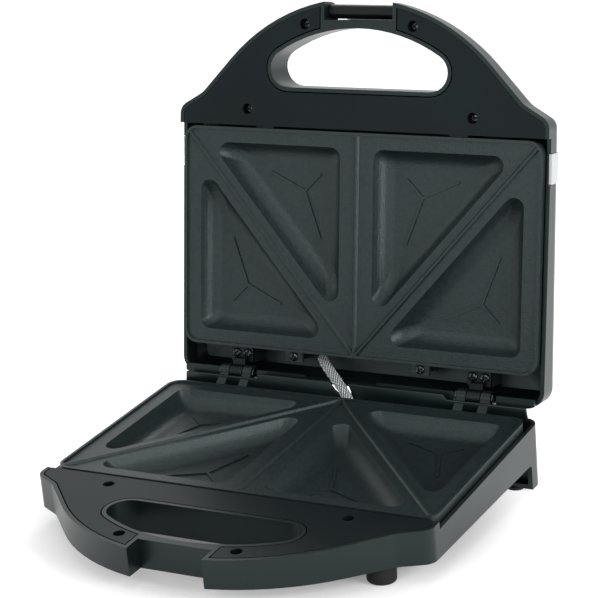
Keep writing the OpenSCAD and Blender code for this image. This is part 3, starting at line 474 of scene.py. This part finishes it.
def screw_mesh(head_r, head_h, shank_r, shank_l):
    """A pan-head screw, its head standing on z = 0, with a cross recess pressed in."""
    top = [(0.0, 1.0), (0.12, 1.0), (0.24, 0.995), (0.36, 0.985), (0.48, 0.965), (0.6, 0.93),
           (0.74, 0.86), (0.88, 0.72), (0.97, 0.5), (1.0, 0.25), (1.0, 0.0)]
    profile = [(r * head_r, h * head_h) for r, h in top]
    profile += [(shank_r, 0.0), (shank_r, -shank_l), (0.0, -shank_l)]
    mesh = spun(profile, 40)
    arm_w = 0.13 * head_r
    for vert in mesh.verts:
        x, y, z = vert.co
        reach = math.hypot(x, y)
        off_arm = min(abs(x), abs(y))
        if z > 0.8 * head_h and reach < 0.62 * head_r and off_arm < arm_w:
            deep = 0.62 * head_h * (1 - 0.25 * off_arm / arm_w) * (1 - 0.6 * reach / head_r)
            vert.co.z -= deep
    data = bpy.data.meshes.new("pan_head_screw")
    mesh.to_mesh(data)
    mesh.free()
    data.shade_smooth()
    data.set_sharp_from_angle(angle=math.radians(35))
    return data


HEAD_R, HEAD_H = 2.7 * MM, 1.4 * MM
SHANK_R, SHANK_L = 1.4 * MM, 3.0 * MM
screw_object = bpy.data.objects.new("screw_pattern",
                                    screw_mesh(HEAD_R, HEAD_H, SHANK_R, SHANK_L))
print("one screw:", len(screw_object.data.vertices), "vertices")


# %% Screws on points
def screw_tree(material):
    """Puts the screw on every point, facing its 'facing' and turned by its 'turn'."""
    tree = bpy.data.node_groups.new("screws_on_points", "GeometryNodeTree")
    sockets = tree.interface
    sockets.new_socket("Geometry", in_out="INPUT", socket_type="NodeSocketGeometry")
    scale = sockets.new_socket("Head size", in_out="INPUT", socket_type="NodeSocketFloat")
    scale.default_value = 1.0
    sockets.new_socket("Geometry", in_out="OUTPUT", socket_type="NodeSocketGeometry")
    start = add(tree, "NodeGroupInput")
    pattern = add(tree, "GeometryNodeObjectInfo", {"transform_space": "ORIGINAL"},
                  Object=screw_object)
    facing = add(tree, "GeometryNodeInputNamedAttribute", {"data_type": "FLOAT_VECTOR"},
                 Name="facing")
    turn = add(tree, "GeometryNodeInputNamedAttribute", {"data_type": "FLOAT"}, Name="turn")
    aligned = add(tree, "FunctionNodeAlignRotationToVector", {"axis": "Z"},
                  Vector=facing.outputs["Attribute"])
    spin = add(tree, "FunctionNodeAxisAngleToRotation", None, Axis=(0, 0, 1),
               Angle=turn.outputs["Attribute"])
    turned = add(tree, "FunctionNodeRotateRotation", {"rotation_space": "LOCAL"},
                 Rotation=aligned.outputs["Rotation"], Rotate_By=spin.outputs["Rotation"])
    placed = add(tree, "GeometryNodeInstanceOnPoints", None, Points=start.outputs["Geometry"],
                 Instance=pattern.outputs["Geometry"], Rotation=turned.outputs["Rotation"],
                 Scale=start.outputs["Head size"])
    real = add(tree, "GeometryNodeRealizeInstances", None, Geometry=placed.outputs["Instances"])
    coated = add(tree, "GeometryNodeSetMaterial", None, Geometry=real.outputs["Geometry"],
                 Material=material)
    end = add(tree, "NodeGroupOutput")
    tree.links.new(coated.outputs["Geometry"], end.inputs["Geometry"])
    return tree, scale.identifier


screws_tree, head_size = screw_tree(materials["black_oxide_screw_steel"])


def made_plain(piece, name):
    """Turns an object with live modifiers into a plain mesh at the origin."""
    evaluated = piece.evaluated_get(bpy.context.evaluated_depsgraph_get())
    data = bpy.data.meshes.new_from_object(evaluated)
    data.name = name
    bpy.data.objects.remove(piece)
    plain = bpy.data.objects.new(name, data)
    bpy.context.scene.collection.objects.link(plain)
    return plain


def islands(data):
    """The separate solids of a node, each as a list of points, in a fixed order."""
    mesh = bmesh.new()
    mesh.from_mesh(data)
    bmesh.ops.remove_doubles(mesh, verts=mesh.verts, dist=SAME_PLACE)
    left, found = dict.fromkeys(mesh.verts), []  # a set would give another order each run
    while left:
        stack, group = [left.popitem()[0]], []
        while stack:
            vert = stack.pop()
            group.append(vert.co.copy())
            for edge in vert.link_edges:
                other = edge.other_vert(vert)
                if other in left:
                    del left[other]
                    stack.append(other)
        found.append(group)
    mesh.free()
    return found


chance = random.Random(11)
TOP_BAND = 0.3 * MM  # corners this near the top of a solid belong to the top of its head


def screws(node, facing, body):
    """Screws with pressed crosses in place of a node's plain ones; facing is their way out."""
    spots = bpy.data.meshes.new("spots_" + node)
    places = []
    for points in islands(nodes[node].data):
        high = max(p.dot(facing) for p in points)
        top = [p for p in points if p.dot(facing) > high - TOP_BAND]
        middle = sum(top, Vector()) / len(top)
        places.append(middle + facing * (high - HEAD_H - middle.dot(facing)))
    spots.from_pydata(places, [], [])
    spots.attributes.new("facing", "FLOAT_VECTOR", "POINT")
    spots.attributes.new("turn", "FLOAT", "POINT")
    for i in range(len(places)):
        spots.attributes["facing"].data[i].vector = facing
        spots.attributes["turn"].data[i].value = chance.uniform(0, math.pi)
    carrier = bpy.data.objects.new("carrier_" + node, spots)
    bpy.context.scene.collection.objects.link(carrier)
    modifier = carrier.modifiers.new("screws", "NODES")
    modifier.node_group = screws_tree
    modifier[head_size] = 1.0
    piece = made_plain(carrier, "cross_" + node)
    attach(piece, body)
    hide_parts(node)
    print(node, "->", len(places), "screws,", len(piece.data.polygons), "faces")


up_base = direction(stand, (0, 0, 1))
out_lid = direction(swing, (0, 0, -1))
screws("base_face_screws", up_base, "base")
screws("lower_plate_screws", up_base, "base")
screws("lower_reflector_screws", -up_base, "base")
screws("lid_face_screws", out_lid, "lid")
screws("upper_plate_screws", out_lid, "lid")
screws("upper_reflector_screws", -out_lid, "lid")
screws("hinge_screws", out_lid, "lid")

# %% [markdown]
# ## The braided sleeve
# The wires to the lid's element run through a sleeve of braided glass fibre. A braid is two
# families of yarns that wind opposite ways and pass over and under each other. The path is
# one smooth curve from the lid to the base. A node tree copies it once for each yarn, winds
# the copies round it and lets every yarn rise and fall where it crosses the others, then
# gives each one a six-sided round section. A striped texture on a tube would look flat from the
# side.

# %% The sleeve's path
SLEEVE_D = 6.2
STEPS = 80


def opened(p):
    """A point of the shut lid, where the open lid carries it, on the drawing."""
    y, z = p[1] - PIN[0], p[2] - PIN[1]
    c, s = math.cos(-LID_OPEN), math.sin(-LID_OPEN)
    return Vector((p[0], PIN[0] + y * c - z * s, PIN[1] + y * s + z * c))


lid_end = opened((-25, 132.5, 12))
handles = [lid_end, lid_end + Vector((6, -9, -3)), Vector((2, 132.1, 3)), Vector((3, 131.9, -8))]


def along(t):
    """The point of the sleeve's middle line at t, 0 at the lid and 1 at the base."""
    a, b, c, d = handles
    return a * (1 - t) ** 3 + b * 3 * t * (1 - t) ** 2 + c * 3 * t * t * (1 - t) + d * t ** 3


path = bpy.data.curves.new("sleeve_path", "CURVE")
path.dimensions = "3D"
line = path.splines.new("POLY")
line.points.add(STEPS)
stations = [along(i / STEPS) for i in range(STEPS + 1)]
for point, station in zip(line.points, stations):
    point.co = (*(stand @ station), 1.0)
sleeve_length = sum((b - a).length for a, b in zip(stations, stations[1:]))
print("sleeve length", round(sleeve_length, 1), "mm")


# %% Yarns wound round the path
def link_or_set(tree, socket, value):
    """Links a socket to another one, or gives it a plain value."""
    if isinstance(value, bpy.types.NodeSocket):
        tree.links.new(value, socket)
    else:
        socket.default_value = value


def braid_tree(yarns, turns, radius, lift, width):
    """One family of yarns wound round a curve; Way is 1 or -1, the way that it winds."""
    tree = bpy.data.node_groups.new("braided_sleeve", "GeometryNodeTree")
    sockets = tree.interface
    sockets.new_socket("Geometry", in_out="INPUT", socket_type="NodeSocketGeometry")
    wanted = {"Yarns": ("NodeSocketInt", yarns), "Turns": ("NodeSocketFloat", turns),
              "Radius": ("NodeSocketFloat", radius), "Lift": ("NodeSocketFloat", lift),
              "Way": ("NodeSocketFloat", 1.0)}
    keys = {}
    for name, (kind, value) in wanted.items():
        socket = sockets.new_socket(name, in_out="INPUT", socket_type=kind)
        socket.default_value = value
        keys[name] = socket.identifier
    sockets.new_socket("Geometry", in_out="OUTPUT", socket_type="NodeSocketGeometry")
    start = add(tree, "NodeGroupInput")

    def value(operation, a, b=0.0, c=0.0):
        node = add(tree, "ShaderNodeMath", {"operation": operation}, _0=a, _1=b, _2=c)
        return node.outputs["Value"]

    def vector(operation, a, b=None, scale=None):
        node = add(tree, "ShaderNodeVectorMath", {"operation": operation}, _0=a)
        if b is not None:
            link_or_set(tree, node.inputs[1], b)
        if scale is not None:
            link_or_set(tree, node.inputs["Scale"], scale)
        return node.outputs["Vector"]

    tangent = add(tree, "GeometryNodeInputTangent").outputs["Tangent"]
    side = vector("NORMALIZE", vector("CROSS_PRODUCT", tangent, (1.0, 0.0, 0.0)))
    other = vector("CROSS_PRODUCT", tangent, side)
    factor = add(tree, "GeometryNodeSplineParameter").outputs["Factor"]
    kept = add(tree, "GeometryNodeStoreNamedAttribute", {"data_type": "FLOAT_VECTOR"},
               Geometry=start.outputs["Geometry"], Name="side", Value=side)
    kept = add(tree, "GeometryNodeStoreNamedAttribute", {"data_type": "FLOAT_VECTOR"},
               Geometry=kept.outputs["Geometry"], Name="other", Value=other)
    copies = add(tree, "GeometryNodeDuplicateElements", {"domain": "SPLINE"},
                 Geometry=kept.outputs["Geometry"], Amount=start.outputs["Yarns"])
    number = add(tree, "GeometryNodeStoreNamedAttribute", {"data_type": "FLOAT", "domain": "CURVE"},
                 Geometry=copies.outputs["Geometry"], Name="number",
                 Value=copies.outputs["Duplicate Index"])
    which = add(tree, "GeometryNodeInputNamedAttribute", {"data_type": "FLOAT"},
                Name="number").outputs["Attribute"]
    phase = value("DIVIDE", value("MULTIPLY", which, 2 * math.pi), start.outputs["Yarns"])
    wound = value("MULTIPLY", value("MULTIPLY", factor, start.outputs["Turns"]),
                  value("MULTIPLY", start.outputs["Way"], 2 * math.pi))
    angle = value("ADD", phase, wound)
    # Each half wave takes a yarn over one yarn of the other family and under the next
    weave = value("MULTIPLY", value("MULTIPLY", factor, start.outputs["Turns"]),
                  value("MULTIPLY", start.outputs["Yarns"], 2 * math.pi))
    weave = value("ADD", weave, value("MULTIPLY", which, math.pi))
    wave = value("MULTIPLY", value("SINE", weave), start.outputs["Way"])
    reach = value("MULTIPLY_ADD", wave, start.outputs["Lift"], start.outputs["Radius"])
    side_kept = add(tree, "GeometryNodeInputNamedAttribute", {"data_type": "FLOAT_VECTOR"},
                    Name="side").outputs["Attribute"]
    other_kept = add(tree, "GeometryNodeInputNamedAttribute", {"data_type": "FLOAT_VECTOR"},
                     Name="other").outputs["Attribute"]
    sideways = value("MULTIPLY", value("COSINE", angle), reach)
    otherways = value("MULTIPLY", value("SINE", angle), reach)
    offset = vector("ADD", vector("SCALE", side_kept, scale=sideways),
                    vector("SCALE", other_kept, scale=otherways))
    moved = add(tree, "GeometryNodeSetPosition", None, Geometry=number.outputs["Geometry"],
                Offset=offset)
    section = add(tree, "GeometryNodeCurvePrimitiveCircle", {"mode": "RADIUS"}, Resolution=6,
                  Radius=width / 2)
    skin = add(tree, "GeometryNodeCurveToMesh", None, Curve=moved.outputs["Geometry"],
               Profile_Curve=section.outputs["Curve"], Fill_Caps=True)
    smooth = add(tree, "GeometryNodeSetShadeSmooth", None, Geometry=skin.outputs["Mesh"])
    real = add(tree, "GeometryNodeRealizeInstances", None, Geometry=smooth.outputs["Geometry"])
    coated = add(tree, "GeometryNodeSetMaterial", None, Geometry=real.outputs["Geometry"],
                 Material=materials["white_glass_fibre_yarn"])
    end = add(tree, "NodeGroupOutput")
    tree.links.new(coated.outputs["Geometry"], end.inputs["Geometry"])
    return tree, keys


YARN = 0.62 * MM
braid, braid_keys = braid_tree(yarns=10, turns=1.6, radius=SLEEVE_D / 2 * MM - YARN * 0.9,
                               lift=0.18 * MM, width=YARN)
families = []
for way, material in ((1.0, "white_glass_fibre_yarn"), (-1.0, "grey_glass_fibre_yarn")):
    carrier = bpy.data.objects.new("yarn_path", path.copy())
    bpy.context.scene.collection.objects.link(carrier)
    modifier = carrier.modifiers.new("braid", "NODES")
    modifier.node_group = braid
    modifier[braid_keys["Way"]] = way
    family = made_plain(carrier, "sleeve_yarns")
    family.data.materials.clear()
    family.data.materials.append(materials[material])
    families.append(family)
    print("yarns", material, len(family.data.polygons), "faces")

# %% The dark lining inside the braid
RINGS, ROUND = 40, 20
LINING_R = SLEEVE_D / 2 - 0.75


def lining_ring(mesh, t):
    """A ring of the lining across the path at t."""
    ahead_of = (along(min(t + 0.01, 1.0)) - along(max(t - 0.01, 0.0))).normalized()
    u = ahead_of.cross(Vector((1, 0, 0))).normalized()
    v = ahead_of.cross(u)
    turns = [2 * math.pi * k / ROUND for k in range(ROUND)]
    return [mesh.verts.new(stand @ (along(t) + (u * math.cos(a) + v * math.sin(a)) * LINING_R))
            for a in turns]


mesh = bmesh.new()
rings = [lining_ring(mesh, i / RINGS) for i in range(RINGS + 1)]
for near, far in zip(rings, rings[1:]):
    for k in range(ROUND):
        mesh.faces.new((near[k], near[(k + 1) % ROUND], far[(k + 1) % ROUND], far[k]))
mesh.faces.new(rings[0][::-1])
mesh.faces.new(rings[-1])
bmesh.ops.recalc_face_normals(mesh, faces=mesh.faces)
lining = bpy.data.meshes.new("sleeve_lining")
mesh.to_mesh(lining)
mesh.free()
lining.shade_smooth()
lining.materials.append(materials["grey_glass_fibre_yarn"])
families.append(bpy.data.objects.new("sleeve_lining", lining))
bpy.context.scene.collection.objects.link(families[-1])
print("lining:", len(lining.polygons), "faces")

for family, name in zip(families, ("sleeve_white_yarns", "sleeve_grey_yarns", "sleeve_lining")):
    family.name = name
    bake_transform(family)
    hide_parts("wire_sleeve")

# %% [markdown]
# ## The ledge behind the lower plate
# Behind the plate the base's back wall rises to the height of the rims, so no light comes
# through under the open lid. It runs from corner to corner, with a notch where the sleeve
# crosses, and it stands higher between the hinges, where the lid's brackets don't sweep
# past. It is drawn as a profile in x and z and pushed back by the wall's thickness, then its
# edges are rounded like the rest of the moulding.

# %% Ledge
LEDGE_TOP, LEDGE_PEAK, LEDGE_FOOT = 1.6, 4.6, -6.0
LEDGE_FRONT, LEDGE_BACK = 136.9, 138.6
NOTCH = [(-0.6, LEDGE_PEAK), (1.2, 0), (0.6, -3.6), (-5, -3.4), (-9.4, 0.2), (-12.4, LEDGE_PEAK)]


def ledge():
    """A low wall from corner to corner with a notch where the sleeve crosses it."""
    outline = [(-108, LEDGE_FOOT), (108, LEDGE_FOOT), (107, LEDGE_TOP), (60, LEDGE_TOP),
               (58, LEDGE_PEAK), *NOTCH, (-58, LEDGE_PEAK), (-60, LEDGE_TOP), (-107, LEDGE_TOP)]
    mesh = bmesh.new()
    front = [mesh.verts.new(stand @ Vector((x, LEDGE_FRONT, z))) for x, z in outline]
    back = [mesh.verts.new(stand @ Vector((x, LEDGE_BACK, z))) for x, z in outline]
    mesh.faces.new(front)
    mesh.faces.new(back[::-1])
    for i in range(len(outline)):
        j = (i + 1) % len(outline)
        mesh.faces.new((front[i], back[i], back[j], front[j]))
    bmesh.ops.recalc_face_normals(mesh, faces=mesh.faces)
    bmesh.ops.bevel(mesh, geom=list(mesh.edges), offset=0.4 * MM, segments=2, profile=0.5,
                    affect="EDGES", clamp_overlap=True)
    data = bpy.data.meshes.new("base_back_ledge")
    mesh.to_mesh(data)
    mesh.free()
    data.shade_smooth()
    data.set_sharp_from_angle(angle=math.radians(50))
    data.materials.append(materials["black_glass_filled_polyamide"])
    piece = bpy.data.objects.new("base_back_ledge", data)
    bpy.context.scene.collection.objects.link(piece)
    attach(piece, "base")
    return piece


ledge_piece = ledge()
print("ledge:", len(ledge_piece.data.polygons), "faces")

# %% [markdown]
# ## Floor and light
# The toaster stands on a white sweep. The world is white where the camera or a reflection
# sees it, and dimmer where it only lights, so the black plastic keeps its depth. A broad
# soft box stands to the right, one in front and one above, a weak one fills from the left,
# and a narrow one behind draws bright lines along the rims and edges.

# %% Floor
FLOOR_HALF = 6.0


def seen_directly(tree):
    """1 where the camera, a mirror-like ray or a ray through glass looks, else 0."""
    rays = add(tree, "ShaderNodeLightPath")
    seen = add(tree, "ShaderNodeMath", {"operation": "MAXIMUM"},
               _0=rays.outputs["Is Camera Ray"], _1=rays.outputs["Is Transmission Ray"])
    seen = add(tree, "ShaderNodeMath", {"operation": "MAXIMUM"},
               _0=seen.outputs["Value"], _1=rays.outputs["Is Glossy Ray"])
    return seen.outputs["Value"]


floor_data = bpy.data.meshes.new("sweep")
floor_data.from_pydata([(x * FLOOR_HALF, y * FLOOR_HALF, 0)
                        for x, y in ((-1, -1), (1, -1), (1, 1), (-1, 1))], [], [(0, 1, 2, 3)])
floor = bpy.data.objects.new("sweep", floor_data)
bpy.context.scene.collection.objects.link(floor)

floor_material = bpy.data.materials.new("white_paper_sweep")
floor_material.use_nodes = True
tree = floor_material.node_tree
tree.nodes.remove(tree.nodes["Principled BSDF"])
paper = add(tree, "ShaderNodeBsdfDiffuse", None, Color=linear("#e7e7e7"))
# The glow that keeps the sweep white fades out under the toaster, so its own shadow stays. The fade
# is also painted shade: the floor is darker towards the toaster, whether it is lit there or not.
spot = add(tree, "ShaderNodeTexCoord").outputs["Object"]
spot = add(tree, "ShaderNodeMapping", None, Vector=spot, Location=(0, 0.18, 0),
           Scale=(6.5, 6.9, 1))
away = add(tree, "ShaderNodeVectorMath", {"operation": "LENGTH"}, _0=spot.outputs["Vector"])
# painted shade round the toaster: little glow near it, more further away
painted_floor_shade = add(tree, "ShaderNodeMapRange", {"interpolation_type": "SMOOTHSTEP"},
           Value=away.outputs["Value"], From_Min=0.5, From_Max=1.12, To_Min=0.16, To_Max=0.88)
glow = add(tree, "ShaderNodeEmission", None, Color=WHITE, Strength=painted_floor_shade.outputs["Result"])
nothing = add(tree, "ShaderNodeEmission", None, Strength=0.0)
lit = add(tree, "ShaderNodeMixShader", None, _0=seen_directly(tree),
          _1=nothing.outputs["Emission"], _2=glow.outputs["Emission"])
both = add(tree, "ShaderNodeAddShader", None, _0=paper.outputs["BSDF"], _1=lit.outputs["Shader"])
tree.links.new(both.outputs["Shader"], tree.nodes["Material Output"].inputs["Surface"])
floor_data.materials.append(floor_material)
print("sweep:", 2 * FLOOR_HALF, "m square")


# %% World and soft boxes
world = bpy.data.worlds.new("white_room")
bpy.context.scene.world = world
world.use_nodes = True
tree = world.node_tree
tree.nodes.clear()
ambient = add(tree, "ShaderNodeBackground", None, Color=WHITE, Strength=0.24)
shown = add(tree, "ShaderNodeBackground", None, Color=WHITE, Strength=1.0)
mix = add(tree, "ShaderNodeMixShader", None, _0=seen_directly(tree),
          _1=ambient.outputs["Background"], _2=shown.outputs["Background"])
add(tree, "ShaderNodeOutputWorld", None, Surface=mix.outputs["Shader"])


def soft_box(name, place, aim, size, power):
    """An area lamp of so many watts at a place, facing a point."""
    data = bpy.data.lights.new(name, "AREA")
    data.shape = "RECTANGLE"
    data.size, data.size_y = size
    data.energy = power
    lamp = bpy.data.objects.new(name, data)
    look = (Vector(aim) - Vector(place)).to_track_quat("-Z", "Y").to_matrix().to_4x4()
    lamp.matrix_world = Matrix.Translation(Vector(place)) @ look
    bpy.context.scene.collection.objects.link(lamp)


soft_box("box_above", (0.2, -0.5, 1.4), (0, 0, 0.05), (0.9, 0.6), 1.5)
soft_box("box_front", (0.1, -1.7, 0.75), (0, 0, 0.1), (1.1, 0.7), 8.0)
soft_box("box_right", (1.35, -0.35, 0.45), (0, 0, 0.1), (0.6, 0.9), 15.0)
soft_box("box_left", (-1.2, -0.7, 0.8), (0, 0, 0.1), (0.5, 0.5), 2.0)
soft_box("box_behind", (-0.2, 1.2, 1.2), (0, 0, 0.1), (1.0, 0.3), 9.0)
bpy.context.scene.view_settings.view_transform = "Standard"
print("floor, world and five soft boxes")
